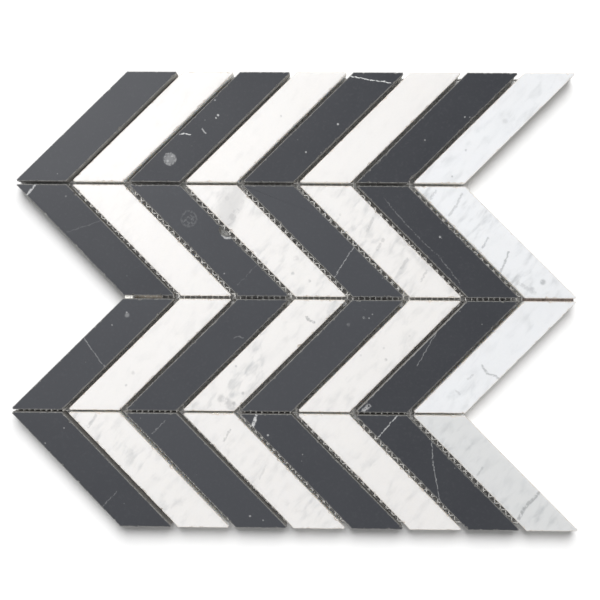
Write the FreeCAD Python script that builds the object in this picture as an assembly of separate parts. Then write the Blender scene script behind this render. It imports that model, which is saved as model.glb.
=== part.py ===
import FreeCAD, Part
import math
import os
from FreeCAD import Vector

# A sheet of chevron wall tile: courses of sawn marble strips, black and white in turn,
# laid face up on one backing of woven glass-fibre mesh, with open joints for the grout.
# X runs along the courses, Y up the wall, and Z out of the wall. All sizes are millimetres.
# The origin is the middle of the sheet's footprint, at the bottom of the mesh.

COURSES = 4                  # the first, at the top, leans right, and the next ones left and right in turn
COLUMNS = 8                  # strips in a course, black first
STRIP_WIDTH = 20.0           # square to the long sides
STRIP_HEIGHT = 61.2          # up the wall
STONE_THICKNESS = 9.5
LEAN = 45.0                  # degrees between a strip's long sides and Y
JOINT = 2.15                 # between long sides, square to them
COURSE_JOINT = 1.3           # between one course and the next
ARRIS = 0.45                 # flat on every edge of the polished face
TIP_BLUNT = 1.1              # length worn off each sharp corner, along its bisector

# The mesh: flat yarns of glass fibre in two layers, glued where they cross
WARP_PITCH = 3.12            # between the yarns that run up the sheet
WEFT_PITCH = 3.44            # between the yarns that run along the courses
WARP_WIDTH = 0.7
WEFT_WIDTH = 0.8
YARN_THICKNESS = 0.2
MESH_INSET = 1.5             # from the outer sides of the stone to the trimmed edge of the mesh

STONE_BACK = 2 * YARN_THICKNESS
SLANT = math.tan(math.radians(LEAN))          # along X for each 1 up a long side
ALONG = 1 / math.cos(math.radians(LEAN))      # along X for each 1 square to a long side
COURSE_PITCH = STRIP_HEIGHT + COURSE_JOINT
SHEET_HEIGHT = COURSES * COURSE_PITCH - COURSE_JOINT


def course_middle(course):
    """Height of the line halfway up a course, counted from the top down."""
    return (SHEET_HEIGHT - STRIP_HEIGHT) / 2 - course * COURSE_PITCH


def point(course, foot, height):
    """The point at a height on the long side that crosses the course's middle line at X = foot."""
    slant = SLANT if course % 2 == 0 else -SLANT
    return Vector(foot + slant * (height - course_middle(course)), height, 0)


def column_sides(column):
    """X of the left and right side of a strip, on its course's middle line."""
    pitch = (STRIP_WIDTH + JOINT) * ALONG
    middle = (column - (COLUMNS - 1) / 2) * pitch
    return middle - STRIP_WIDTH * ALONG / 2, middle + STRIP_WIDTH * ALONG / 2


def slab(corners, thickness):
    return Part.Face(Part.makePolygon(corners + corners[:1])).extrude(Vector(0, 0, thickness))


def blunted(corners):
    """The outline with its sharp corners cut off square to their bisectors."""
    outline = []
    for before, corner, after in zip(corners[-1:] + corners[:-1], corners, corners[1:] + corners[:1]):
        back = (before - corner).normalize()
        ahead = (after - corner).normalize()
        angle = back.getAngle(ahead)
        if angle > math.pi / 2:
            outline.append(corner)
        else:
            along = TIP_BLUNT / math.cos(angle / 2)
            outline.extend([corner + back * along, corner + ahead * along])
    return outline


def strip(course, column):
    """One sawn strip: a slanted four-sided bar with an eased arris round its polished face."""
    left, right = column_sides(column)
    bottom = course_middle(course) - STRIP_HEIGHT / 2
    top = bottom + STRIP_HEIGHT
    corners = [point(course, left, bottom), point(course, right, bottom),
               point(course, right, top), point(course, left, top)]
    bar = slab(blunted(corners), STONE_THICKNESS)
    face_edges = [edge for edge in bar.Edges
                  if all(vertex.Z > STONE_THICKNESS / 2 for vertex in edge.Vertexes)]
    bar = bar.makeChamfer(ARRIS, face_edges)
    bar.translate(Vector(0, 0, STONE_BACK))
    return bar


def mesh_outline():
    """The mesh's trimmed outline as a solid: the zigzag of the courses, set in from the stone."""
    left = column_sides(0)[0] + MESH_INSET * ALONG
    right = column_sides(COLUMNS - 1)[1] - MESH_INSET * ALONG
    edge = SHEET_HEIGHT / 2 - MESH_INSET
    turns = [(course, course_middle(course) - COURSE_PITCH / 2) for course in range(COURSES - 1)]
    ends = [(0, edge)] + turns + [(COURSES - 1, -edge)]
    going_down = [point(course, left, height) for course, height in ends]
    going_up = [point(course, right, height) for course, height in reversed(ends)]
    return slab(going_down + going_up, STONE_BACK)


def yarns(outline, pitch, width, cross_pitch, bottom, upright):
    """One layer of the mesh: parallel flat yarns, cut to the outline.

    An offcut shorter than the other layer's pitch is held by no crossing, and drops out."""
    box = outline.BoundBox
    reach = box.XMax if upright else box.YMax
    count = int((2 * reach - width) // pitch) + 1
    pieces = []
    for number in range(count):
        edge = (number - (count - 1) / 2) * pitch - width / 2
        if upright:
            yarn = Part.makeBox(width, box.YLength, YARN_THICKNESS, Vector(edge, box.YMin, bottom))
        else:
            yarn = Part.makeBox(box.XLength, width, YARN_THICKNESS, Vector(box.XMin, edge, bottom))
        for piece in yarn.common(outline).Solids:
            length = piece.BoundBox.YLength if upright else piece.BoundBox.XLength
            if length >= cross_pitch:
                pieces.append(piece)
    return Part.makeCompound(pieces)


def build():
    nodes = {}
    for course in range(COURSES):
        for column in range(COLUMNS):
            stone = "black" if column % 2 == 0 else "white"
            nodes[f"{stone}_strip_{course + 1}_{column + 1}"] = strip(course, column)
    outline = mesh_outline()
    nodes["mesh_warp"] = yarns(outline, WARP_PITCH, WARP_WIDTH, WEFT_PITCH, YARN_THICKNESS, True)
    nodes["mesh_weft"] = yarns(outline, WEFT_PITCH, WEFT_WIDTH, WARP_PITCH, 0, False)
    return nodes


os.makedirs("parts", exist_ok=True)
for name, shape in build().items():
    shape.exportStep(f"parts/{name}.step")
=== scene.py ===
import math

import bpy
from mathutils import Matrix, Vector, noise


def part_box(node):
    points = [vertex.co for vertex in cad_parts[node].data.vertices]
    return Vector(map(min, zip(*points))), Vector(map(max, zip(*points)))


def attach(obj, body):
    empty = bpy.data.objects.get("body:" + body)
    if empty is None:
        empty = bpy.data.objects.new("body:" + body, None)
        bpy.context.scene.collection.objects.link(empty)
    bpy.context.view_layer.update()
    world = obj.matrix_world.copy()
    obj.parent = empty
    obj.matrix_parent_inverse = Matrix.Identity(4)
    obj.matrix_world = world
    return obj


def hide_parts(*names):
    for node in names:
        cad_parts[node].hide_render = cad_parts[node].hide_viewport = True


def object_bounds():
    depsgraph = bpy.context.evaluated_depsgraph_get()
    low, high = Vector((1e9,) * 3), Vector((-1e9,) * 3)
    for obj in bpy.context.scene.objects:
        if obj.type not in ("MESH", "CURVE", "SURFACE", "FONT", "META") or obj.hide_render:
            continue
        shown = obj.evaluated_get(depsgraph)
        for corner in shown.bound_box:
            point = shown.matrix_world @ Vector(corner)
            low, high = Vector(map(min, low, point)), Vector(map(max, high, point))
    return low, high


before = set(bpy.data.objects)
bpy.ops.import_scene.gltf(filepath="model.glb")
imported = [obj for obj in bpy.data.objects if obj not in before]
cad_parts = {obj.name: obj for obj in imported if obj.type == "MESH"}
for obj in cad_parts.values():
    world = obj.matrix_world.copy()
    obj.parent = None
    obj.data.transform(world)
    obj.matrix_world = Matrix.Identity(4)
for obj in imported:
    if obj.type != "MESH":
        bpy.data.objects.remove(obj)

cad_low, cad_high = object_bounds()
scene = bpy.context.scene
MM = 0.001


# The camera. It looks down on the sheet from about 58 cm and leans a few degrees, which makes the
# lower and the right strips a little wider. The shift is the photo's own framing.

LENS = 62.8                             # on a frame 36 mm wide
CAMERA_PLACE = (4.4, 11.6, 582.8)       # millimetres
CAMERA_LEAN = (2.82, 0.934, 0.402)      # degrees about X, Y and Z
FRAME_PIXELS = 600                      # the photo's width and height
AXIS_IN_PHOTO = (285, 225)              # the pixel that the camera's own axis passes through
FARTHEST_SEEN = 20.0                    # metres, well past the floor's corners

camera = bpy.data.objects.new("camera", bpy.data.cameras.new("camera"))
camera.location = [place * MM for place in CAMERA_PLACE]
camera.rotation_euler = [math.radians(angle) for angle in CAMERA_LEAN]
camera.data.lens = LENS
camera.data.shift_x = (FRAME_PIXELS / 2 - AXIS_IN_PHOTO[0]) / FRAME_PIXELS
camera.data.shift_y = (AXIS_IN_PHOTO[1] - FRAME_PIXELS / 2) / FRAME_PIXELS
camera.data.clip_end = FARTHEST_SEEN
scene.collection.objects.link(camera)
scene.camera = camera


# The floor: a wide pale sheet of matt paper, laid flat under the sheet of tiles as in a product
# studio. It is staging, and its fine fibres keep it from looking like a painted plane.

def linear(colour):
    """An sRGB hex value such as "#c8c4bd" as a linear colour."""
    levels = [int(colour[start:start + 2], 16) / 255 for start in (1, 3, 5)]
    return [v / 12.92 if v <= 0.04045 else ((v + 0.055) / 1.055) ** 2.4 for v in levels] + [1.0]


def add(tree, kind, inputs=(), **settings):
    """Adds a node. Its inputs take plain values, or outputs of other nodes, which are then linked."""
    made = tree.nodes.new(kind)
    for name, value in settings.items():
        setattr(made, name, value)
    for socket, value in dict(inputs).items():
        if isinstance(value, bpy.types.NodeSocket):
            tree.links.new(value, made.inputs[socket])
        else:
            made.inputs[socket].default_value = value
    return made


def layered(tree, ground, layers):
    """Lays colours over a ground colour in turn, each as strongly as its own share says."""
    colour = linear(ground)
    for share, over in layers:
        colour = add(tree, "ShaderNodeMix", {0: share, 6: colour, 7: linear(over)},
                     data_type="RGBA").outputs[2]
    return colour


def new_material(name):
    material = bpy.data.materials.new(name)
    material.use_nodes = True
    material.node_tree.nodes.clear()
    return material, material.node_tree


FLOOR_SIZE = 8.0                        # metres
PAPER_FIBRES = 900.0                    # clumps of fibre to a metre

# Matt uncoated paper: it spreads the light evenly and hardly shines.
paper, tree = new_material("matt white paper")
fibre = add(tree, "ShaderNodeTexNoise", {"Scale": PAPER_FIBRES, "Detail": 3.0})
tint = layered(tree, "#dcdcdc", [(fibre.outputs[0], "#e0e0e0")])
shader = add(tree, "ShaderNodeBsdfPrincipled", {"Base Color": tint, "Roughness": 0.9,
                                                "Specular IOR Level": 0.2})
add(tree, "ShaderNodeOutputMaterial", {"Surface": shader.outputs[0]})

half = FLOOR_SIZE / 2
floor_mesh = bpy.data.meshes.new("floor")
floor_mesh.from_pydata([(-half, -half, 0), (half, -half, 0), (half, half, 0), (-half, half, 0)], [],
                       [(0, 1, 2, 3)])
floor_mesh.materials.append(paper)
floor = bpy.data.objects.new("floor", floor_mesh)
scene.collection.objects.link(floor)


# The marble strips: thirty-two bars sawn from slabs, honed on the face and eased round it by hand,
# with nibbled edges and broken points where the saw left them. The backs and sides are as sawn.

STRIP_TOP = cad_high.z / MM
ARRIS = 0.35                            # the eased edge round the face
ARRIS_ROUND = 0.42                      # its middle ring, as a share of it: under a half makes it bulge
BACK_ARRIS = 0.12
SUPPORT = 0.06                          # flat rims beside the arris, which keep its shading to itself
SAMPLE_STEP = 0.6                       # between points round a strip's outline
BROAD_NIBBLES = 0.45                    # to a millimetre of edge
FINE_NIBBLES = 1.7
FINE_SHARE = 0.6                        # how much the fine ones count beside the broad ones
FINE_APART = 50                         # keeps the fine ones from following the broad ones
CHIP_DEPTH = 1.1                        # of the deepest nibbles, before the noise scales it
CHIP_RARITY = 0.24                      # noise level that a place must pass to be nibbled
CHIP_RAGGED = 0.3                       # how much of the nibbles a large chip's own edge shows
CHIP_FALL = 1.5                         # how far down the side a nibble goes for each 1 that it bites in
CORNER_CALM = 1.2                       # length beside each corner over which nibbles fade away
TIP_BREAK = 0.7                         # most that a sharp point loses more than its blunted side
TIP_USUAL = 0.3                         # share of it that a point loses before the noise
TIP_NOISE = 0.31                        # changes to a millimetre, so that each point has its own share
TIP_FALL = 1.2                          # as CHIP_FALL, for a broken point
SHORT_TOPS = {"2": 0.4, "3": 0.35}      # the second and third courses are laid a hair below the one above
HONED, SAWN = 0, 1                      # a strip's two materials, by slot
FIRST_HONED = 3                         # the ring from which the arris and the face are honed
SHARP_FROM = 25                         # degrees between faces, past which the shading breaks


def outline_of(node):
    """Corners of a strip's outline in millimetres, anticlockwise, read from the back of its CAD node."""
    lowest = min(v.co.z for v in node.data.vertices)
    corners = {(round(v.co.x / MM, 3), round(v.co.y / MM, 3))
               for v in node.data.vertices if v.co.z < lowest + 0.01 * MM}
    middle_x = sum(x for x, y in corners) / len(corners)
    middle_y = sum(y for x, y in corners) / len(corners)
    return [Vector(c) for c in sorted(corners, key=lambda c: math.atan2(c[1] - middle_y, c[0] - middle_x))]


def sides_of(corners):
    return list(zip(corners, corners[1:] + corners[:1]))


def inward(side):
    along = (side[1] - side[0]).normalized()
    return Vector((-along.y, along.x))


def inset(corners, amounts):
    """The outline with each side moved inward by its own amount."""
    moved = []
    sides = sides_of(corners)
    for number, corner in enumerate(corners):
        before, here = inward(sides[number - 1]), inward(sides[number])
        cross = before.x * here.y - before.y * here.x
        first, second = amounts[number - 1], amounts[number]
        step = Vector((first * here.y - second * before.y, second * before.x - first * here.x)) / cross
        moved.append(corner + step)
    return moved


def nibble(place, seed, chips):
    """How deep the edge is nibbled at a place: nothing along most of it, and the strip's own large chips."""
    broad = noise.noise(Vector((place.x, place.y, seed)) * BROAD_NIBBLES)
    fine = noise.noise(Vector((place.x, place.y, seed + FINE_APART)) * FINE_NIBBLES)
    depth = CHIP_DEPTH * max(0.0, broad + FINE_SHARE * fine - CHIP_RARITY)
    for x, y, reach, most in chips:
        near = 1 - ((place - Vector((x, y))).length / reach) ** 2
        depth = max(depth, most * math.sqrt(max(0.0, near)) + CHIP_RAGGED * depth)
    return depth


def sawn_strip(name, node, seed, chips):
    """Builds one strip as rings that follow its outline from the back up over the arris to the face."""
    corners = outline_of(node)
    back = min(v.co.z for v in node.data.vertices) / MM
    short = SHORT_TOPS.get(name.split("_")[-2], 0.0)
    # only the upper side faces straight down the sheet
    corners = inset(corners, [short if inward(side).y < -0.9 else 0.0 for side in sides_of(corners)])
    sides = sides_of(corners)
    # the two shortest sides are the blunted points
    points = sorted(range(len(sides)), key=lambda n: (sides[n][1] - sides[n][0]).length)[:2]
    broken = [TIP_BREAK * max(0.0, TIP_USUAL + noise.noise(sides[n][0].to_3d() * TIP_NOISE))
              if n in points else 0.0 for n in range(len(sides))]
    # each ring: its inset, its height, how much of the nibbles and broken points it shows, and whether it
    # lies on the eased edge, whose tint in the materials is partly wear and partly painted light and shade
    rings = (
        (BACK_ARRIS, back, 0.0, 1),
        (0.0, back + BACK_ARRIS, 0.0, 0),
        (0.0, STRIP_TOP - ARRIS - SUPPORT, 0.0, 0),
        (0.0, STRIP_TOP - ARRIS, 0.0, 1),
        (ARRIS_ROUND * ARRIS, STRIP_TOP - ARRIS_ROUND * ARRIS, 0.6, 1),
        (ARRIS, STRIP_TOP, 1.0, 1),
        (ARRIS + SUPPORT, STRIP_TOP, 1.0, 0),
        (ARRIS + 2 * SUPPORT, STRIP_TOP, 1.0, 0),
    )
    vertices, eased_edge = [], []
    for distance, height, share, on_eased_edge in rings:
        ring = inset(corners, [distance + share * extra for extra in broken])
        falls = height > STRIP_TOP / 2 and share < 1.0      # the face itself stays level
        for number, (side, outer) in enumerate(zip(sides_of(ring), sides)):
            length = (outer[1] - outer[0]).length
            steps = max(2, round(length / SAMPLE_STEP))
            direction = inward(outer)
            for step in range(steps):
                place = outer[0].lerp(outer[1], step / steps)
                calm = min(1.0, min(step, steps - step) * length / steps / CORNER_CALM)
                depth = nibble(place, seed, chips) * calm
                drop = CHIP_FALL * depth + TIP_FALL * broken[number] if falls else 0.0
                spot = side[0].lerp(side[1], step / steps) + direction * depth * share
                vertices.append((spot.x * MM, spot.y * MM, (height - drop) * MM))
                eased_edge.append(on_eased_edge)
    count = len(vertices) // len(rings)
    faces, finishes = [], []
    for ring in range(len(rings) - 1):
        for number in range(count):
            after = (number + 1) % count
            low, high = ring * count, (ring + 1) * count
            faces.append((low + number, low + after, high + after, high + number))
            finishes.append(HONED if ring >= FIRST_HONED else SAWN)
    faces.append([(len(rings) - 1) * count + number for number in range(count)])
    finishes.append(HONED)
    faces.append(list(reversed(range(count))))
    finishes.append(SAWN)
    mesh = bpy.data.meshes.new(name)
    mesh.from_pydata(vertices, [], faces)
    mesh.attributes.new("eased_edge", "FLOAT", "POINT").data.foreach_set("value", [float(w) for w in eased_edge])
    mesh.polygons.foreach_set("material_index", finishes)
    mesh.shade_smooth()
    mesh.set_sharp_from_angle(angle=math.radians(SHARP_FROM))
    return mesh


# A mark in the stone: how it strays from its course, and how it is broken up.
STRAY_PATTERN = 0.5                     # bends to a millimetre
FULL_CORE = 0.3                         # share of a mark's width that shows at full strength
MARK_CRUMBS = 0.8                       # to the width of a broad mark, or to a millimetre of a thin one
CRUMBS_FROM = 0.24                      # noise level below which crumbs are missing from a whole mark
CRUMBS_SPAN = 0.36                      # how much higher it lies for the most broken mark
CRUMBS_SOFT = 0.14                      # over which a crumb fades out
SPECK_STRAY, LINE_STRAY = 0.8, 2.0      # millimetres that the two kinds of marks stray at most


def mark_group():
    """A node group that paints one mark in stone: how strongly a place lies on a vein, speck or ring.

    The mark runs from Start to End, which are the same for a speck. A Ring above zero hollows it, and
    Broken, from 0 to 1, is how much of it is missing."""
    tree = bpy.data.node_groups.new("stone mark", "ShaderNodeTree")
    for name, kind in (("Place", "Vector"), ("Start", "Vector"), ("End", "Vector"), ("Ring", "Float"),
                       ("Width", "Float"), ("Wander", "Float"), ("Strength", "Float"), ("Broken", "Float")):
        tree.interface.new_socket(name, in_out="INPUT", socket_type="NodeSocket" + kind)
    tree.interface.new_socket("Amount", in_out="OUTPUT", socket_type="NodeSocketFloat")
    given = add(tree, "NodeGroupInput").outputs
    drift = add(tree, "ShaderNodeTexNoise", {"Vector": given["Place"], "Scale": STRAY_PATTERN,
                                             "Detail": 4.0})
    level = add(tree, "ShaderNodeVectorMath", {0: drift.outputs["Color"], 1: (0.5, 0.5, 0.5)},
                operation="SUBTRACT")
    stray = add(tree, "ShaderNodeVectorMath", {0: level.outputs[0], "Scale": given["Wander"]},
                operation="SCALE")
    place = add(tree, "ShaderNodeVectorMath", {0: given["Place"], 1: stray.outputs[0]}, operation="ADD")
    flat = add(tree, "ShaderNodeVectorMath", {0: place.outputs[0], 1: (1, 1, 0)}, operation="MULTIPLY")
    course = add(tree, "ShaderNodeVectorMath", {0: given["End"], 1: given["Start"]}, operation="SUBTRACT")
    reach = add(tree, "ShaderNodeVectorMath", {0: flat.outputs[0], 1: given["Start"]}, operation="SUBTRACT")
    along = add(tree, "ShaderNodeVectorMath", {0: reach.outputs[0], 1: course.outputs[0]},
                operation="DOT_PRODUCT")
    whole = add(tree, "ShaderNodeVectorMath", {0: course.outputs[0], 1: course.outputs[0]},
                operation="DOT_PRODUCT")
    share = add(tree, "ShaderNodeMath", {0: along.outputs["Value"], 1: whole.outputs["Value"]},
                operation="DIVIDE", use_clamp=True)
    foot = add(tree, "ShaderNodeVectorMath", {0: course.outputs[0], "Scale": share.outputs[0]},
               operation="SCALE")
    off = add(tree, "ShaderNodeVectorMath", {0: reach.outputs[0], 1: foot.outputs[0]}, operation="DISTANCE")
    hollow = add(tree, "ShaderNodeMath", {0: off.outputs["Value"], 1: given["Ring"]}, operation="SUBTRACT")
    distance = add(tree, "ShaderNodeMath", {0: hollow.outputs[0]}, operation="ABSOLUTE")
    plateau = add(tree, "ShaderNodeMath", {0: given["Width"], 1: FULL_CORE}, operation="MULTIPLY")
    core = add(tree, "ShaderNodeMapRange", {"Value": distance.outputs[0], "From Min": given["Width"],
                                            "From Max": plateau.outputs[0]}, interpolation_type="SMOOTHSTEP")
    broad = add(tree, "ShaderNodeMath", {0: given["Width"], 1: 1.0}, operation="MAXIMUM")
    pitch = add(tree, "ShaderNodeMath", {0: MARK_CRUMBS, 1: broad.outputs[0]}, operation="DIVIDE")
    grain = add(tree, "ShaderNodeTexNoise", {"Vector": given["Place"], "Scale": pitch.outputs[0],
                                             "Detail": 3.0, "Roughness": 0.6})
    bare = add(tree, "ShaderNodeMath", {0: given["Broken"], 1: CRUMBS_SPAN, 2: CRUMBS_FROM},
               operation="MULTIPLY_ADD")
    whole_again = add(tree, "ShaderNodeMath", {0: bare.outputs[0], 1: CRUMBS_SOFT}, operation="ADD")
    gaps = add(tree, "ShaderNodeMapRange", {"Value": grain.outputs[0], "From Min": bare.outputs[0],
                                            "From Max": whole_again.outputs[0]})
    broken = add(tree, "ShaderNodeMath", {0: core.outputs[0], 1: gaps.outputs[0]}, operation="MULTIPLY")
    amount = add(tree, "ShaderNodeMath", {0: broken.outputs[0], 1: given["Strength"]}, operation="MULTIPLY")
    add(tree, "NodeGroupOutput", {"Amount": amount.outputs[0]})
    return tree


stone_mark = mark_group()


def marks_on(tree, place, marks, paint):
    """A strip's own marks as one layer of paint, as strong as the strongest of them at each place."""
    strongest = None
    for start, end, ring, width, strength, broken in marks:
        is_speck = start == end and not ring
        mark = add(tree, "ShaderNodeGroup", {
            "Place": place, "Start": (*start, 0), "End": (*end, 0), "Ring": ring, "Width": width,
            "Wander": SPECK_STRAY if is_speck else LINE_STRAY, "Strength": strength, "Broken": broken},
            node_tree=stone_mark)
        if strongest is None:
            strongest = mark.outputs[0]
        else:
            strongest = add(tree, "ShaderNodeMath", {0: strongest, 1: mark.outputs[0]},
                            operation="MAXIMUM").outputs[0]
    return [(strongest, paint)] if marks else []


def in_millimetres(tree):
    """The place on the sheet in millimetres. Every piece has its origin in the middle of the sheet."""
    here = add(tree, "ShaderNodeTexCoord").outputs["Object"]
    return add(tree, "ShaderNodeVectorMath", {0: here, "Scale": 1 / MM}, operation="SCALE").outputs[0]


STRIPS_APART = (61.7, -43.1, 29.3)      # millimetres from the stone of one strip to that of the next


def own_stone(tree, place, number):
    """The place moved off by the strip's number, so that no two strips show the same stone."""
    return add(tree, "ShaderNodeVectorMath", {0: place, 1: [number * step for step in STRIPS_APART]},
               operation="ADD").outputs[0]


# How much paler than the blackest slab each black strip is.
BLACKS = {
    "1_1": 0.35, "1_3": 0.04, "1_5": 0.04, "1_7": 0.0, "2_1": 0.1, "2_3": 0.41, "2_5": 0.53, "2_7": 0.1,
    "3_1": 0.41, "3_3": 0.35, "3_5": 0.53, "3_7": 0.1, "4_1": 0.23, "4_3": 0.53, "4_5": 0.35, "4_7": 0.16,
}
BLACK_CLOUDS = 0.045                    # to a millimetre, as the next three: 22 mm across, hardly there
BLACK_MOTTLE = 0.6                      # uneven grain under 2 mm, which also roughens the hone
SPECK_CELLS = 0.16                      # a cell of 6 mm has one chalky speck at most
HONE_MARKS = 3.5                        # of fine grit, drawn coarse enough to show


def black_marble(name, number, marks, pale):
    """Black limestone marble, honed: near black and even, with chalky specks and white calcite veins."""
    material, tree = new_material(name)
    place = in_millimetres(tree)
    own = own_stone(tree, place, number)
    cloud = add(tree, "ShaderNodeTexNoise", {"Vector": own, "Scale": BLACK_CLOUDS, "Detail": 4.0})
    mottle = add(tree, "ShaderNodeTexNoise", {"Vector": own, "Scale": BLACK_MOTTLE, "Detail": 4.0,
                                              "Roughness": 0.7})
    patch = add(tree, "ShaderNodeMapRange", {"Value": mottle.outputs[0], "From Min": 0.52, "From Max": 0.8,
                                             "To Max": 0.35})
    cell = add(tree, "ShaderNodeTexVoronoi", {"Vector": own, "Scale": SPECK_CELLS})
    chosen = add(tree, "ShaderNodeSeparateColor", {0: cell.outputs["Color"]})
    near = add(tree, "ShaderNodeMapRange", {"Value": cell.outputs["Distance"], "From Min": 0.07,
                                            "From Max": 0.02})
    rare = add(tree, "ShaderNodeMapRange", {"Value": chosen.outputs[0], "From Min": 0.6, "From Max": 1.0,
                                            "To Max": 0.5})
    chalk = add(tree, "ShaderNodeMath", {0: near.outputs[0], 1: rare.outputs[0]}, operation="MULTIPLY")
    # The eased edge is painted paler grey. This is partly the paler wear of the ground edge and partly a
    # painted highlight where the edge catches the light.
    eased_edge = add(tree, "ShaderNodeAttribute", {}, attribute_name="eased_edge").outputs["Fac"]
    uneven_edge = add(tree, "ShaderNodeMapRange", {"Value": mottle.outputs[0], "From Min": 0.35, "From Max": 0.65,
                                             "To Min": 0.25, "To Max": 0.8})
    edge_wear_and_painted_light = add(tree, "ShaderNodeMath", {0: eased_edge, 1: uneven_edge.outputs[0]}, operation="MULTIPLY")
    colour = layered(tree, "#2d2f35", [
        (cloud.outputs[0], "#383a3f"), (pale, "#484a4f"), (patch.outputs[0], "#55565a"),
        (chalk.outputs[0], "#c4c5c4"), *marks_on(tree, place, marks, "#e2e3e3"),
        (edge_wear_and_painted_light.outputs[0], "#a5a4a0")])
    polish = add(tree, "ShaderNodeMapRange", {"Value": mottle.outputs[0], "To Min": 0.50, "To Max": 0.60})
    dull = add(tree, "ShaderNodeMath", {0: polish.outputs[0], 1: edge_wear_and_painted_light.outputs[0]}, operation="ADD")
    hone = add(tree, "ShaderNodeTexNoise", {"Vector": own, "Scale": HONE_MARKS, "Detail": 3.0})
    bump = add(tree, "ShaderNodeBump", {"Height": hone.outputs[0], "Strength": 0.12, "Distance": 0.02 * MM})
    shader = add(tree, "ShaderNodeBsdfPrincipled", {"Base Color": colour, "Roughness": dull.outputs[0],
                                                    "IOR": 1.5, "Normal": bump.outputs[0]})
    add(tree, "ShaderNodeOutputMaterial", {"Surface": shader.outputs[0]})
    return material


GLOW_REACH = 8.0                        # how deep light soaks into the white stone before it comes out again
GLOW_COLOUR = (1.0, 0.95, 0.88)         # red goes furthest, so the glow is warm
WHITE_DRIFTS = 0.03                     # to a millimetre, as the next two: warmer and cooler, 33 mm across
SMOKE_CLOUDS = 0.06                     # 17 mm across
CRYSTALS = 0.9                          # of about 1 mm
BED_FLECK = (10, 4.2, 6)                # millimetres along, across and through a smoky bed
BED_LEAN = 52.0                         # degrees from X that the beds run at

# The white strips are cut from three slabs, and each shows its own share of smoky clouds.
SLABS = {"warm": ("#ebe9e7", "#e8e6e4"), "cool": ("#e8e9eb", "#ebedef"), "grey": ("#d7d8d8", "#dedfdf")}
WHITES = {
    "1_2": ("warm", 0.12), "1_4": ("warm", 0.1), "1_6": ("warm", 0.1), "1_8": ("cool", 0.35),
    "2_2": ("warm", 0.15), "2_4": ("warm", 0.45), "2_6": ("warm", 0.7), "2_8": ("cool", 0.6),
    "3_2": ("warm", 0.3), "3_4": ("warm", 0.6), "3_6": ("warm", 0.4), "3_8": ("cool", 0.3),
    "4_2": ("warm", 0.5), "4_4": ("warm", 0.35), "4_6": ("warm", 0.3), "4_8": ("grey", 0.5),
}


def white_marble(name, number, marks, slab, smoky):
    """White marble, honed: warm and cool whites in drifts, with soft smoky clouds that all lean one way."""
    material, tree = new_material(name)
    place = in_millimetres(tree)
    own = own_stone(tree, place, number)
    drift = add(tree, "ShaderNodeTexNoise", {"Vector": own, "Scale": WHITE_DRIFTS, "Detail": 3.0})
    cloud = add(tree, "ShaderNodeTexNoise", {"Vector": own, "Scale": SMOKE_CLOUDS, "Detail": 2.0})
    cloudy = add(tree, "ShaderNodeMapRange", {"Value": cloud.outputs[0], "From Min": 0.4, "From Max": 0.66,
                                              "To Min": 0.15})
    turned = add(tree, "ShaderNodeMapping", {"Vector": own, "Rotation": (0, 0, math.radians(BED_LEAN)),
                                             "Scale": BED_FLECK}, vector_type="TEXTURE")
    fleck = add(tree, "ShaderNodeTexNoise", {"Vector": turned.outputs[0], "Scale": 1.0, "Detail": 3.0,
                                             "Roughness": 0.5, "Distortion": 0.3})
    flecks = add(tree, "ShaderNodeMapRange", {"Value": fleck.outputs[0], "From Min": 0.42, "From Max": 0.78},
                 interpolation_type="SMOOTHSTEP")
    both = add(tree, "ShaderNodeMath", {0: cloudy.outputs[0], 1: flecks.outputs[0]}, operation="MULTIPLY")
    smoke = add(tree, "ShaderNodeMath", {0: both.outputs[0], 1: smoky}, operation="MULTIPLY")
    crystal = add(tree, "ShaderNodeTexNoise", {"Vector": own, "Scale": CRYSTALS, "Detail": 3.0})
    grain = add(tree, "ShaderNodeMapRange", {"Value": crystal.outputs[0], "From Min": 0.5, "From Max": 0.85,
                                             "To Max": 0.1})
    # The eased edge is tinted warm beige and made a little darker. This is partly the edge's own warm tone
    # and partly painted shade along the edge.
    eased_edge = add(tree, "ShaderNodeAttribute", {}, attribute_name="eased_edge").outputs["Fac"]
    edge_wear_and_painted_light = add(tree, "ShaderNodeMath", {0: eased_edge, 1: 0.5}, operation="MULTIPLY")
    ground, drifting = SLABS[slab]
    colour = layered(tree, ground, [
        (drift.outputs[0], drifting), (smoke.outputs[0], "#9da1a4"), (grain.outputs[0], "#c9cbcc"),
        *marks_on(tree, place, marks, "#85878a"), (edge_wear_and_painted_light.outputs[0], "#eee2d4")])
    polish = add(tree, "ShaderNodeMapRange", {"Value": crystal.outputs[0], "To Min": 0.36, "To Max": 0.46})
    dull = add(tree, "ShaderNodeMath", {0: polish.outputs[0], 1: edge_wear_and_painted_light.outputs[0]}, operation="ADD")
    bump = add(tree, "ShaderNodeBump", {"Height": crystal.outputs[0], "Strength": 0.1,
                                        "Distance": 0.03 * MM})
    shader = add(tree, "ShaderNodeBsdfPrincipled", {
        "Base Color": colour, "Roughness": dull.outputs[0], "IOR": 1.5, "Normal": bump.outputs[0],
        "Subsurface Weight": 0.25, "Subsurface Radius": GLOW_COLOUR, "Subsurface Scale": GLOW_REACH * MM})
    add(tree, "ShaderNodeOutputMaterial", {"Surface": shader.outputs[0]})
    return material


SAW_LINES = (0.05, 0.05, 2.2)           # to a millimetre along X, Y and up the side
SAW_DUST = 0.5                          # patches to a millimetre


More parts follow.
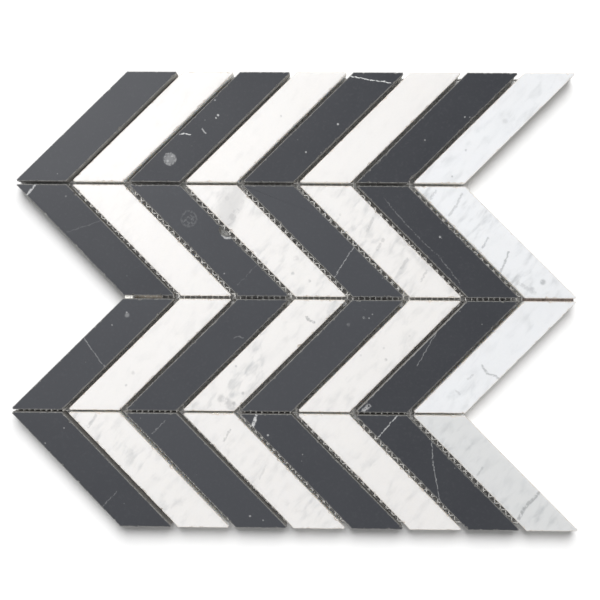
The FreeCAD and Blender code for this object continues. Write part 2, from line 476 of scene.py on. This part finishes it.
def sawn_stone(name, pale, dark, glow):
    """A sawn side or back: matt and dusty, scored by the blade. White stone's also glows from within."""
    material, tree = new_material(name)
    place = in_millimetres(tree)
    score = add(tree, "ShaderNodeMapping", {"Vector": place, "Scale": SAW_LINES})
    lines = add(tree, "ShaderNodeTexNoise", {"Vector": score.outputs[0], "Scale": 1.0, "Detail": 4.0})
    dust = add(tree, "ShaderNodeTexNoise", {"Vector": place, "Scale": SAW_DUST, "Detail": 4.0})
    both = add(tree, "ShaderNodeMath", {0: lines.outputs[0], 1: dust.outputs[0]}, operation="MULTIPLY")
    share = add(tree, "ShaderNodeMapRange", {"Value": both.outputs[0], "From Min": 0.12, "From Max": 0.42})
    colour = layered(tree, dark, [(share.outputs[0], pale)])
    bump = add(tree, "ShaderNodeBump", {"Height": both.outputs[0], "Strength": 0.4, "Distance": 0.1 * MM})
    shader = add(tree, "ShaderNodeBsdfPrincipled", {"Base Color": colour, "Roughness": 0.85,
                                                    "Normal": bump.outputs[0], "Subsurface Weight": glow,
                                                    "Subsurface Radius": GLOW_COLOUR,
                                                    "Subsurface Scale": GLOW_REACH * MM})
    add(tree, "ShaderNodeOutputMaterial", {"Surface": shader.outputs[0]})
    return material


sawn_black = sawn_stone("sawn black marble", "#acaaa7", "#878583", 0.0)
sawn_white = sawn_stone("sawn white marble", "#fdfbf6", "#f6f3ec", 1.0)


# Each kind of mark gives its start, its end, the radius of its ring, its width, its strength and how
# much of it is broken away.

def speck(x, y, size, strength, broken=0.2):
    return (x, y), (x, y), 0.0, size, strength, broken


def ring(x, y, radius, width, strength, broken=0.5):
    return (x, y), (x, y), radius, width, strength, broken


def vein(width, strength, *points, broken=0.3):
    return [(start, end, 0.0, width, strength, broken) for start, end in zip(points, points[1:])]


# What each strip shows of its own, in millimetres on the sheet: shell fossils, veins, specks and smudges.
MARKS = {
    "black_strip_1_3": [
        speck(-68.9, 75.8, 4.3, 0.22, 0.1), ring(-68.9, 75.8, 2.8, 1.1, 0.28, 0.35),
        speck(-70.0, 74.7, 1.2, 0.42), speck(-67.7, 77.1, 1.1, 0.4), speck(-69.6, 77.3, 0.8, 0.3),
        *vein(0.5, 0.75, (-63.6, 89.4), (-60.8, 90.0), (-57.6, 89.3)),
        *vein(0.5, 0.4, (-51.0, 92.6), (-49.4, 90.2)),
        speck(-42.5, 100.2, 0.9, 0.6), speck(-43.6, 98.6, 0.7, 0.5), speck(-44.3, 108.5, 0.7, 0.4)],
    "black_strip_1_5": [
        *vein(0.45, 0.85, (30.1, 122.2), (41.0, 120.2), (52.7, 118.6)),
        speck(23.6, 95.5, 0.9, 0.5), speck(6.1, 80.0, 0.8, 0.45)],
    "black_strip_1_7": [
        speck(93.3, 99.7, 0.6, 0.4), speck(96.0, 99.7, 0.5, 0.3), speck(71.4, 86.9, 0.6, 0.3)],
    "black_strip_2_1": [
        *vein(0.8, 0.6, (-142.6, 61.6), (-148.0, 55.0)), *vein(0.4, 0.06, (-125.0, 35.1), (-106.9, 41.3)),
        speck(-125.9, 54.9, 0.7, 0.2)],
    "black_strip_2_3": [
        ring(-57.9, 42.8, 4.1, 0.8, 0.06, 0.35), ring(-57.6, 42.6, 2.0, 0.7, 0.06, 0.4),
        *vein(0.5, 0.1, (-60.6, 41.4), (-58.4, 44.4), (-56.6, 42.2), (-55.2, 44.0), broken=0.45),
        *vein(0.5, 0.09, (-59.4, 38.9), (-57.0, 40.6), (-54.9, 39.6), broken=0.5),
        *vein(0.3, 0.07, (-20.3, 17.7), (-31.2, 6.7)), speck(-38.1, 13.0, 0.6, 0.35),
        *vein(0.9, 0.5, (-39.7, 36.4), (-39.8, 34.6), (-38.1, 32.8), (-35.8, 32.4), (-33.1, 33.1),
              broken=0.0),
        speck(-36.4, 35.4, 3.0, 0.1)],
    "black_strip_2_5": [*vein(0.4, 0.32, (33.0, 28.8), (21.2, 10.0))],
    "black_strip_2_7": [
        *vein(0.4, 0.15, (49.0, 55.0), (60.5, 41.2), (71.4, 29.8), (78.5, 23.8), (85.0, 15.7), (90.5, 8.1),
              broken=0.5),
        speck(79.6, 33.7, 0.8, 0.55)],
    "black_strip_3_1": [
        *vein(0.35, 0.22, (-115.0, -22.6), (-106.8, -33.7), (-102.4, -39.1)),
        speck(-91.2, -10.1, 1.8, 0.2), speck(-91.4, -8.6, 0.7, 0.4), speck(-99.4, -15.6, 0.6, 0.3)],
    "black_strip_3_3": [*vein(0.45, 0.13, (-32.4, -22.0), (-30.0, -21.0), (-27.6, -22.0))],
    "black_strip_3_5": [
        speck(38.1, -10.5, 0.9, 0.3), speck(40.9, -10.7, 0.6, 0.3), speck(42.8, -8.7, 0.6, 0.25),
        speck(29.8, -14.4, 1.2, 0.12)],
    "black_strip_3_7": [
        *vein(0.35, 0.22, (78.0, -17.8), (66.9, -36.7)), *vein(1.6, 0.5, (38.4, -60.6), (41.2, -58.4)),
        *vein(0.5, 0.3, (93.4, -2.1), (64.2, -31.3), (36.0, -59.5), broken=0.1)],
    "black_strip_4_1": [
        *vein(0.35, 0.13, (-102.9, -113.5), (-95.3, -105.4)),
        speck(-124.8, -71.7, 0.6, 0.35), speck(-135.0, -79.9, 0.6, 0.3)],
    "black_strip_4_3": [
        *vein(0.35, 0.15, (-76.6, -74.4), (-69.4, -67.2)),
        speck(-23.0, -118.0, 0.8, 0.5), speck(-15.9, -120.1, 0.6, 0.4)],
    "black_strip_4_5": [*vein(1.2, 0.72, (-19.6, -62.6), (-22.0, -70.2)), speck(-13.6, -74.5, 0.8, 0.45)],
    "black_strip_4_7": [
        *vein(0.45, 0.55, (56.4, -63.6), (46.0, -75.2)),
        *vein(0.35, 0.3, (75.0, -76.0), (76.0, -90.2), (79.5, -108.5))],
    "white_strip_1_4": [speck(-7.8, 99.8, 0.9, 0.4)],
    "white_strip_1_8": [
        speck(93.8, 81.5, 1.0, 0.4), speck(115.2, 97.6, 2.2, 0.22), speck(86.2, 67.1, 0.8, 0.5)],
    "white_strip_2_4": [
        *vein(9.0, 0.26, (-31.6, 60.0), (-38.0, 42.0), broken=0.2),
        *vein(3.4, 0.4, (-32.2, 47.2), (-36.0, 40.6)),
        speck(-37.0, 54.2, 2.8, 0.34), speck(-28.8, 52.4, 2.6, 0.26),
        speck(-0.7, 13.3, 1.3, 0.4), speck(8.5, 9.2, 1.2, 0.4), speck(1.1, 21.5, 2.2, 0.22)],
    "white_strip_2_6": [
        speck(25.0, 45.7, 0.9, 0.35), *vein(1.1, 0.25, (39.8, 36.6), (43.0, 43.6)),
        *vein(4.0, 0.2, (58.0, 32.0), (66.0, 26.0), (73.0, 17.0)),
        *vein(1.4, 0.3, (58.6, 16.0), (61.6, 21.4)), *vein(1.4, 0.28, (45.4, 26.6), (48.6, 32.0)),
        *vein(1.0, 0.3, (69.4, 9.6), (72.4, 15.4))],
    "white_strip_2_8": [
        *vein(1.0, 0.3, (74.6, 54.6), (77.4, 59.0)),
        *vein(0.9, 0.34, (91.5, 57.4), (88.6, 51.0), (84.6, 45.4)),
        *vein(0.8, 0.42, (105.6, 33.4), (102.8, 27.9)),
        *vein(0.9, 0.5, (116.9, 25.6), (114.9, 19.9), (111.9, 14.2)),
        speck(135.5, 9.5, 2.2, 0.5), speck(129.5, 5.1, 2.4, 0.35),
        *vein(1.6, 0.25, (122.6, 8.6), (131.0, 3.6))],
    "white_strip_3_2": [speck(-87.5, -41.6, 1.5, 0.24), speck(-91.2, -48.2, 1.0, 0.34)],
    "white_strip_3_4": [
        *vein(1.0, 0.55, (7.0, -10.4), (8.6, -12.4), (11.0, -13.4)), speck(-31.3, -37.4, 0.9, 0.45),
        *vein(3.4, 0.36, (-38.8, -55.2), (-33.0, -59.4)), speck(-32.4, -57.6, 1.6, 0.5),
        speck(-27.4, -51.9, 1.2, 0.4)],
    "white_strip_3_6": [
        speck(50.3, -33.3, 1.2, 0.4), speck(49.2, -27.0, 1.0, 0.22), speck(36.5, -30.9, 0.9, 0.2),
        speck(63.1, -20.2, 0.9, 0.2)],
    "white_strip_3_8": [
        *vein(0.9, 0.5, (102.3, -35.9), (105.1, -40.3), (108.8, -41.2), (112.4, -43.4)),
        *vein(0.9, 0.25, (94.6, -43.4), (97.4, -41.4)), *vein(0.9, 0.25, (88.5, -49.7), (90.4, -51.9))],
    "white_strip_4_2": [
        *vein(1.4, 0.34, (-121.4, -68.8), (-118.0, -63.6)),
        *vein(1.2, 0.28, (-111.6, -71.0), (-107.4, -64.8))],
    "white_strip_4_4": [
        *vein(0.9, 0.38, (-37.6, -77.8), (-34.0, -71.6)), *vein(0.8, 0.2, (-18.0, -98.0), (-14.6, -91.0))],
    "white_strip_4_8": [
        *vein(1.3, 0.55, (134.0, -102.6), (130.6, -106.6), (127.4, -109.4), (124.4, -113.0),
              (122.0, -117.8)),
        *vein(0.9, 0.34, (99.9, -95.0), (102.4, -90.8))],
}

# Chips deeper than the nibbles: where, how far they reach and how deep they bite.
CHIPS = {
    "black_strip_2_3": [(-38.0, 36.4, 3.5, 2.7)],
}
SEEDS_APART = 7                         # between the nibbles of one strip and of the next

strips = [name for name in sorted(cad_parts) if "_strip_" in name]
for number, name in enumerate(strips, 1):
    stone, cell, marks = name.split("_")[0], name[-3:], MARKS.get(name, [])
    mesh = sawn_strip("sawn_" + name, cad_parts[name], number * SEEDS_APART, CHIPS.get(name, []))
    strip = bpy.data.objects.new("sawn_" + name, mesh)
    scene.collection.objects.link(strip)
    if stone == "black":
        mesh.materials.append(black_marble("honed black marble " + cell, number, marks, BLACKS[cell]))
        mesh.materials.append(sawn_black)
    else:
        mesh.materials.append(white_marble("honed white marble " + cell, number, marks, *WHITES[cell]))
        mesh.materials.append(sawn_white)
    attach(strip, "root")
    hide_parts(name)


# The backing: leno-woven glass-fibre mesh. Flat weft yarns run along the courses. Pairs of warp yarns
# run up the sheet and sway across each other, one over each weft and one under it, so they lock.

WARP_PITCH = 3.12
WEFT_PITCH = 3.44
WARP_WIDTH = 0.7                        # as the CAD yarns that the pairs stand for
WEFT_WIDTH = 0.8
MESH_INSET = 1.5
STRIP_WIDTH = 20.0
ALONG = math.sqrt(2)                    # along X for each 1 square to a strip's long side
SLACK = 0.5                             # how far the yarns stray from straight lines
YARN_DRIFTS = 0.035                     # bends to a millimetre
YARN_TONES = 0.35                       # patches to a millimetre
YARN_STRANDS = 9.0                      # filament bundles to a millimetre

first_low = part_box("black_strip_1_1")[0]
second_low, second_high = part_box("black_strip_2_1")
last_low, last_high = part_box("white_strip_1_8")
COURSE_PITCH = (first_low.y - second_low.y) / MM
COURSE_JOINT = (first_low.y - second_high.y) / MM
MIDDLE_SPAN = (last_low.x + last_high.x) / MM / 2       # from the sheet's middle to the last strip's
HALF_WIDTH = MIDDLE_SPAN + STRIP_WIDTH * ALONG / 2 - MESH_INSET * ALONG
HALF_HEIGHT = cad_high.y / MM - MESH_INSET
WARPS = int((2 * (HALF_WIDTH + COURSE_PITCH / 2) - WARP_WIDTH) // WARP_PITCH) + 1
WEFTS = int((2 * HALF_HEIGHT - WEFT_WIDTH) // WEFT_PITCH) + 1

# Glass fibre, woven and coated: off-white, with a smooth skin that catches the light in small glints.
yarn, tree = new_material("woven glass fibre, size-coated")
place = in_millimetres(tree)
tone = add(tree, "ShaderNodeTexNoise", {"Vector": place, "Scale": YARN_TONES, "Detail": 3.0})
colour = layered(tree, "#f6f4ef", [(tone.outputs[0], "#fefdfb")])
strands = add(tree, "ShaderNodeTexNoise", {"Vector": place, "Scale": YARN_STRANDS, "Detail": 2.0})
bump = add(tree, "ShaderNodeBump", {"Height": strands.outputs[0], "Strength": 0.35, "Distance": 0.04 * MM})
shader = add(tree, "ShaderNodeBsdfPrincipled", {"Base Color": colour, "Roughness": 0.32, "IOR": 1.52,
                                                "Normal": bump.outputs[0]})
add(tree, "ShaderNodeOutputMaterial", {"Surface": shader.outputs[0]})


def weave_inputs(tree, names):
    """Gives a weave tree its named inputs and its one output."""
    tree.interface.new_socket("Geometry", in_out="OUTPUT", socket_type="NodeSocketGeometry")
    for name, kind, value in names:
        socket = tree.interface.new_socket(name, in_out="INPUT", socket_type="NodeSocket" + kind)
        socket.default_value = value
    return add(tree, "NodeGroupInput").outputs


def rows_of_points(tree, lines, line_gap, points, point_gap, upright):
    """A set of parallel lines of points about the middle of the sheet, as loose mesh edges."""
    rows = []
    for count, gap, axis in ((points, point_gap, "Y" if upright else "X"),
                             (lines, line_gap, "X" if upright else "Y")):
        gaps = add(tree, "ShaderNodeMath", {0: count, 1: 1.0}, operation="SUBTRACT")
        half_back = add(tree, "ShaderNodeMath", {0: gap, 1: -0.5}, operation="MULTIPLY")
        start = add(tree, "ShaderNodeMath", {0: gaps.outputs[0], 1: half_back.outputs[0]},
                    operation="MULTIPLY")
        first = add(tree, "ShaderNodeCombineXYZ", {axis: start.outputs[0]})
        step = add(tree, "ShaderNodeCombineXYZ", {axis: gap})
        row = add(tree, "GeometryNodeMeshLine", {"Count": count, "Start Location": first.outputs[0],
                                                 "Offset": step.outputs[0]})
        rows.append(row.outputs[0])
    line, seats = rows
    copies = add(tree, "GeometryNodeInstanceOnPoints", {"Points": seats, "Instance": line})
    return add(tree, "GeometryNodeRealizeInstances", {"Geometry": copies.outputs[0]}).outputs[0]


def yarns_from(tree, lines, given, offset, width, thickness):
    """Trims lines of points to the zigzag of the courses, bends them by offset and sweeps a flat yarn."""
    place = add(tree, "GeometryNodeInputPosition").outputs[0]
    spot = add(tree, "ShaderNodeSeparateXYZ", {0: place}).outputs
    up = add(tree, "ShaderNodeMath", {0: spot[1]}, operation="ABSOLUTE")
    fold = add(tree, "ShaderNodeMath", {0: up.outputs[0], 1: given["Course pitch"]}, operation="PINGPONG")
    half_fold = add(tree, "ShaderNodeMath", {0: given["Course pitch"], 1: 0.5}, operation="MULTIPLY")
    zigzag = add(tree, "ShaderNodeMath", {0: half_fold.outputs[0], 1: fold.outputs[0]},
                 operation="SUBTRACT")
    off = add(tree, "ShaderNodeMath", {0: spot[0], 1: zigzag.outputs[0]}, operation="SUBTRACT")
    aside = add(tree, "ShaderNodeMath", {0: off.outputs[0]}, operation="ABSOLUTE")
    past_side = add(tree, "ShaderNodeMath", {0: aside.outputs[0], 1: given["Half width"]},
                    operation="GREATER_THAN")
    past_top = add(tree, "ShaderNodeMath", {0: spot[1], 1: given["Highest"]}, operation="GREATER_THAN")
    past_bottom = add(tree, "ShaderNodeMath", {0: spot[1], 1: given["Lowest"]}, operation="LESS_THAN")
    past_end = add(tree, "ShaderNodeMath", {0: past_top.outputs[0], 1: past_bottom.outputs[0]},
                   operation="ADD")
    outside = add(tree, "ShaderNodeMath", {0: past_side.outputs[0], 1: past_end.outputs[0]},
                  operation="ADD")
    kept = add(tree, "GeometryNodeDeleteGeometry", {"Geometry": lines, "Selection": outside.outputs[0]})
    drift = add(tree, "ShaderNodeTexNoise", {"Vector": place, "Scale": YARN_DRIFTS, "Detail": 1.0})
    centred = add(tree, "ShaderNodeVectorMath", {0: drift.outputs["Color"], 1: (0.5, 0.5, 0.5)},
                  operation="SUBTRACT")
    level = add(tree, "ShaderNodeVectorMath", {0: centred.outputs[0], 1: (1, 1, 0)}, operation="MULTIPLY")
    stray = add(tree, "ShaderNodeVectorMath", {0: level.outputs[0], "Scale": given["Slack"]},
                operation="SCALE")
    moved = add(tree, "ShaderNodeVectorMath", {0: offset, 1: stray.outputs[0]}, operation="ADD")
    bent = add(tree, "GeometryNodeSetPosition", {"Geometry": kept.outputs[0], "Offset": moved.outputs[0]})
    curves = add(tree, "GeometryNodeMeshToCurve", {"Mesh": bent.outputs[0]})
    flat = add(tree, "GeometryNodeSetCurveNormal", {"Curve": curves.outputs[0]}, mode="Z_UP")
    ring = add(tree, "GeometryNodeCurvePrimitiveCircle", {"Resolution": 4, "Radius": 0.5})
    squashed = add(tree, "GeometryNodeTransform", {"Geometry": ring.outputs[0],
                                                   "Scale": (width, thickness, 1.0)})
    swept = add(tree, "GeometryNodeCurveToMesh", {
        "Curve": flat.outputs[0], "Profile Curve": squashed.outputs[0], "Fill Caps": True})
    return swept.outputs[0]


def finish_weave(tree, yarns, material):
    """Ends a weave tree: yarns in metres, shaded smooth, of one material."""
    real = add(tree, "GeometryNodeRealizeInstances", {"Geometry": yarns}).outputs[0]
    size = add(tree, "GeometryNodeTransform", {"Geometry": real, "Scale": (MM, MM, MM)}).outputs[0]
    soft = add(tree, "GeometryNodeSetShadeSmooth", {"Geometry": size}).outputs[0]
    done = add(tree, "GeometryNodeSetMaterial", {"Geometry": soft, "Material": material}).outputs[0]
    add(tree, "NodeGroupOutput", {"Geometry": done})


# What both weaves are given, in millimetres or as a count.
SHEET = (
    ("Half width", "Float", HALF_WIDTH), ("Lowest", "Float", -HALF_HEIGHT),
    ("Highest", "Float", HALF_HEIGHT), ("Course pitch", "Float", COURSE_PITCH), ("Slack", "Float", SLACK),
    ("Pairs", "Int", WARPS), ("Pair pitch", "Float", WARP_PITCH),
    ("Wefts", "Int", WEFTS), ("Weft pitch", "Float", WEFT_PITCH),
)

# The two yarns of a pair: how far each sways and lifts, how high it runs, its width and thickness.
PAIR = ((0.22, 0.115, 0.2, 0.72, 0.13), (-0.16, -0.075, 0.165, 0.64, 0.12))
STEPS = 6.0                             # of a warp yarn from one weft to the next

warp_tree = bpy.data.node_groups.new("leno warp pairs", "GeometryNodeTree")
given = weave_inputs(warp_tree, SHEET)
spans = add(warp_tree, "ShaderNodeMath", {0: given["Wefts"], 1: 1.0}, operation="ADD")
points = add(warp_tree, "ShaderNodeMath", {0: spans.outputs[0], 1: STEPS, 2: 1.0},
             operation="MULTIPLY_ADD")
point_gap = add(warp_tree, "ShaderNodeMath", {0: given["Weft pitch"], 1: STEPS}, operation="DIVIDE")
lines = rows_of_points(warp_tree, given["Pairs"], given["Pair pitch"], points.outputs[0],
                       point_gap.outputs[0], True)
spot = add(warp_tree, "ShaderNodeSeparateXYZ", {0: add(warp_tree, "GeometryNodeInputPosition").outputs[0]})
row = add(warp_tree, "ShaderNodeMath", {0: spot.outputs[1], 1: given["Weft pitch"]}, operation="DIVIDE")
turns = add(warp_tree, "ShaderNodeMath", {0: row.outputs[0], 1: 0.5}, operation="ADD")
waves = []
for turn in (math.pi, 2 * math.pi):
    angle = add(warp_tree, "ShaderNodeMath", {0: turns.outputs[0], 1: turn}, operation="MULTIPLY")
    waves.append(add(warp_tree, "ShaderNodeMath", {0: angle.outputs[0]}, operation="COSINE").outputs[0])
joined = add(warp_tree, "GeometryNodeJoinGeometry")
for sway, lift, middle, width, thickness in PAIR:
    across = add(warp_tree, "ShaderNodeMath", {0: waves[0], 1: sway}, operation="MULTIPLY")
    up = add(warp_tree, "ShaderNodeMath", {0: waves[1], 1: lift, 2: middle}, operation="MULTIPLY_ADD")
    bend = add(warp_tree, "ShaderNodeCombineXYZ", {"X": across.outputs[0], "Z": up.outputs[0]})
    strand = yarns_from(warp_tree, lines, given, bend.outputs[0], width, thickness)
    warp_tree.links.new(strand, joined.inputs[0])
finish_weave(warp_tree, joined.outputs[0], yarn)

WEFT_MIDDLE = 0.19                      # how high the weft yarns run
WEFT_THICKNESS = 0.15

weft_tree = bpy.data.node_groups.new("weft yarns", "GeometryNodeTree")
given = weave_inputs(weft_tree, SHEET)
points = add(weft_tree, "ShaderNodeMath", {0: given["Pairs"], 1: 2.0, 2: 1.0}, operation="MULTIPLY_ADD")
point_gap = add(weft_tree, "ShaderNodeMath", {0: given["Pair pitch"], 1: 0.5}, operation="MULTIPLY")
lines = rows_of_points(weft_tree, given["Wefts"], given["Weft pitch"], points.outputs[0],
                       point_gap.outputs[0], False)
bend = add(weft_tree, "ShaderNodeCombineXYZ", {"Z": WEFT_MIDDLE}).outputs[0]
finish_weave(weft_tree, yarns_from(weft_tree, lines, given, bend, WEFT_WIDTH, WEFT_THICKNESS), yarn)


def woven(name, tree, node, lowest, highest):
    """Runs a weave tree between two heights and keeps the result as a plain mesh."""
    host = bpy.data.objects.new(name, bpy.data.meshes.new(name))
    scene.collection.objects.link(host)
    modifier = host.modifiers.new("weave", "NODES")
    modifier.node_group = tree
    for item in tree.interface.items_tree:
        if item.name == "Lowest":
            modifier[item.identifier] = lowest
        if item.name == "Highest":
            modifier[item.identifier] = highest
    bpy.context.view_layer.update()
    made = bpy.data.meshes.new_from_object(host.evaluated_get(bpy.context.evaluated_depsgraph_get()))
    host.modifiers.remove(modifier)
    host.data = made
    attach(host, "root")
    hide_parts(node)


COURSES = 4
for course in range(COURSES):
    top = HALF_HEIGHT if course == 0 else (COURSES / 2 - course) * COURSE_PITCH
    bottom = -HALF_HEIGHT if course == COURSES - 1 else (COURSES / 2 - course - 1) * COURSE_PITCH
    woven(f"warp_pairs_{course + 1}", warp_tree, "mesh_warp", bottom, top)
woven("weft_yarns", weft_tree, "mesh_weft", -HALF_HEIGHT, HALF_HEIGHT)


# The glue that bonds the stone to the mesh. In the middle course joint it cured as a pale film and a
# white bead at the left. At the right of that joint, a dark brown run is painted shade that stands in
# for the shade deep in the joint. In the joint below, the glue climbed along the warp yarns between the
# black strips and stands there as a row of small white ridges.

GLUE_STEP = 0.3                         # between the rings of a run
GLUE_FOOT = 0.08
BITE = 0.03                             # how far it reaches into the stone's rough sides
CLING = 0.3                             # how much higher it stands against the stone than between
END_SHARE = 0.4                         # of an end's rounding, in each step of a run
END_HEIGHT, END_WIDTH = 0.3, 0.8        # what is left of a run at its very ends
LUMPS, LUMP_RISE = 0.7, 0.2             # lumps to a millimetre, and their share of the height
MIDDLE_JOINT = (-SHORT_TOPS["3"] / 2, COURSE_JOINT / 2 + SHORT_TOPS["3"] / 2)   # its Y and half its width
LOWER_JOINT = (-COURSE_PITCH, COURSE_JOINT / 2)
RIDGE_LENGTH = 0.9
RIDGE_HEIGHT = 7.0
RIDGE_NOISE, RIDGE_UNEVEN = 0.9, 0.4    # how often the ridges' heights change, and by what share
CURED_SHARP_FROM = 50                   # degrees between faces, past which the shading breaks


def glue_and_shade_runs(name, joint, runs, material):
    """Runs of glue and of painted shade along a joint: hollow on top, where they cling to the stone, and
    lower at the ends.
    """
    middle, half_width = joint
    shape = ((1.0, 0.0), (1.0, 1.0), (0.5, 1.0), (0.0, 1.0),
             (-0.5, 1.0), (-1.0, 1.0), (-1.0, 0.0), (0.0, 0.0))
    vertices, faces = [], []
    for first, last, top in runs:
        count = max(3, round((last - first) / GLUE_STEP))
        start = len(vertices)
        for step in range(count + 1):
            x = first + (last - first) * step / count
            end = min(1.0, min(step, count - step) * END_SHARE)
            fullness = math.sqrt(1 - (1 - end) ** 2)
            lump = 1 + LUMP_RISE * noise.noise(Vector((x * LUMPS, top, 0)))
            rise = (END_HEIGHT + (1 - END_HEIGHT) * fullness) * lump
            for across, up in shape:
                y = middle + across * (half_width + BITE) * (END_WIDTH + (1 - END_WIDTH) * fullness)
                height = GLUE_FOOT + up * ((top - GLUE_FOOT) * rise + CLING * across ** 2)
                vertices.append((x * MM, y * MM, height * MM))
        for step in range(count):
            for number in range(len(shape)):
                after = (number + 1) % len(shape)
                here, there = start + step * len(shape), start + (step + 1) * len(shape)
                faces.append((here + number, here + after, there + after, there + number))
        faces.append(tuple(start + number for number in reversed(range(len(shape)))))
        faces.append(tuple(start + count * len(shape) + number for number in range(len(shape))))
    mesh = bpy.data.meshes.new(name)
    mesh.from_pydata(vertices, [], faces)
    mesh.shade_smooth()
    mesh.set_sharp_from_angle(angle=math.radians(CURED_SHARP_FROM))
    mesh.materials.append(material)
    run = bpy.data.objects.new(name, mesh)
    scene.collection.objects.link(run)
    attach(run, "root")


SKIN_FOLDS = 0.8                        # to a millimetre


def glue_and_painted_shade(name, pale, dark):
    """Cured water-based glue: half gloss, uneven, with a skin that has drawn in as it dried. The same finish
    in dark brown is the painted shade at the right of the middle course joint.
    """
    material, tree = new_material(name)
    skin = add(tree, "ShaderNodeTexNoise", {"Vector": in_millimetres(tree), "Scale": SKIN_FOLDS,
                                            "Detail": 4.0})
    colour = layered(tree, dark, [(skin.outputs[0], pale)])
    bump = add(tree, "ShaderNodeBump", {"Height": skin.outputs[0], "Strength": 0.3, "Distance": 0.1 * MM})
    shader = add(tree, "ShaderNodeBsdfPrincipled", {"Base Color": colour, "Roughness": 0.5,
                                                    "Normal": bump.outputs[0]})
    add(tree, "ShaderNodeOutputMaterial", {"Surface": shader.outputs[0]})
    return material


white_glue = glue_and_painted_shade("cured glue, white", "#fbfaf6", "#ebe8e2")
buff_glue = glue_and_painted_shade("cured glue, buff", "#e6dccd", "#c4b8aa")
# Dark brown: painted shade for the deep right end of the middle course joint.
painted_joint_shade = glue_and_painted_shade("painted joint shade, brown", "#83776f", "#766a63")

# Each run goes from one place along the joint to another, up to a height.
glue_and_shade_runs("glue_bead", MIDDLE_JOINT, [(-93.4, -88.0, 8.3)], white_glue)
glue_and_shade_runs("glue_film_left", MIDDLE_JOINT, [(-88.0, -73.3, 0.2)], buff_glue)
# The run at the right is a dark brown run of painted shade that stands in for the deep joint.
glue_and_shade_runs("painted_shade_run_right", MIDDLE_JOINT, [(126.3, 153.3, 7.0)], painted_joint_shade)
ridges = []
for name in ("black_strip_4_1", "black_strip_4_3", "black_strip_4_5", "black_strip_4_7"):
    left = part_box(name)[0].x / MM                       # where the strip's upper side starts
    right = left + STRIP_WIDTH * ALONG
    for warp in range(WARPS):
        x = (warp - (WARPS - 1) / 2) * WARP_PITCH
        if left + RIDGE_LENGTH < x < right - RIDGE_LENGTH:
            tall = RIDGE_HEIGHT * (1 + RIDGE_UNEVEN * noise.noise(Vector((x, 0, 0)) * RIDGE_NOISE))
            ridges.append((x - RIDGE_LENGTH / 2, x + RIDGE_LENGTH / 2, tall))
glue_and_shade_runs("glue_ridges", LOWER_JOINT, ridges, white_glue)


# The light: a soft lamp at the upper left rakes along the falling joints and leaves the rising ones
# dark, one high up opposite fills in, and two high at the sides reach into the joints between courses.
# A wide window behind the sheet lights the paper alone and gives the sheet its soft shadow.

def light(kind, name, place, power, lit):
    """A lamp aimed at the middle of the sheet that lights only the given objects."""
    lamp = bpy.data.objects.new(name, bpy.data.lights.new(name, kind))
    lamp.data.energy = power
    lamp.location = place
    lamp.rotation_euler = (-Vector(place)).to_track_quat("-Z", "Y").to_euler()
    scene.collection.objects.link(lamp)
    receivers = bpy.data.collections.new(name + " lights")
    for one in lit:
        receivers.objects.link(one)
    lamp.light_linking.receiver_collection = receivers
    return lamp


# Each lamp: its place and its width in metres, its power in watts, and whether the polish mirrors it.
LAMPS = (
    ("key", (-0.34, 0.36, 0.66), 0.20, 3.15, True),
    ("fill", (0.32, -0.32, 1.80), 0.45, 7.2, False),
    ("left lamp", (-0.9, 0.0, 1.8), 0.30, 4.8, True),
    ("right lamp", (0.9, 0.0, 1.8), 0.30, 4.8, False),
)
pieces = [one for one in scene.objects if one.type == "MESH" and one is not floor]
for name, place, width, power, mirrored in LAMPS:
    lamp = light("AREA", name, place, power, pieces)
    lamp.data.shape = "DISK"
    lamp.data.size = width
    lamp.visible_glossy = mirrored

WINDOW_PLACE = (0.0, 1.62, 2.0)
WINDOW_POWER = 4.5
WINDOW_SPREAD = 40                      # degrees that it takes up, as seen from the sheet
window = light("SUN", "window", WINDOW_PLACE, WINDOW_POWER, [floor])
window.data.angle = math.radians(WINDOW_SPREAD)

STUDIO_LIGHT = 0.34                     # of the room above
HORIZON_LIGHT = 0.9                     # of the pale walls low round the floor
scene.world = bpy.data.worlds.new("studio")
scene.world.use_nodes = True
tree = scene.world.node_tree
towards = add(tree, "ShaderNodeSeparateXYZ", {0: add(tree, "ShaderNodeTexCoord").outputs["Generated"]})
room = add(tree, "ShaderNodeMapRange", {"Value": towards.outputs[2], "From Min": 0.1, "From Max": 0.2,
                                        "To Min": HORIZON_LIGHT, "To Max": STUDIO_LIGHT})
sky = tree.nodes["Background"]
sky.inputs["Color"].default_value = linear("#ffffff")
tree.links.new(room.outputs[0], sky.inputs["Strength"])
scene.view_settings.view_transform = "Standard"
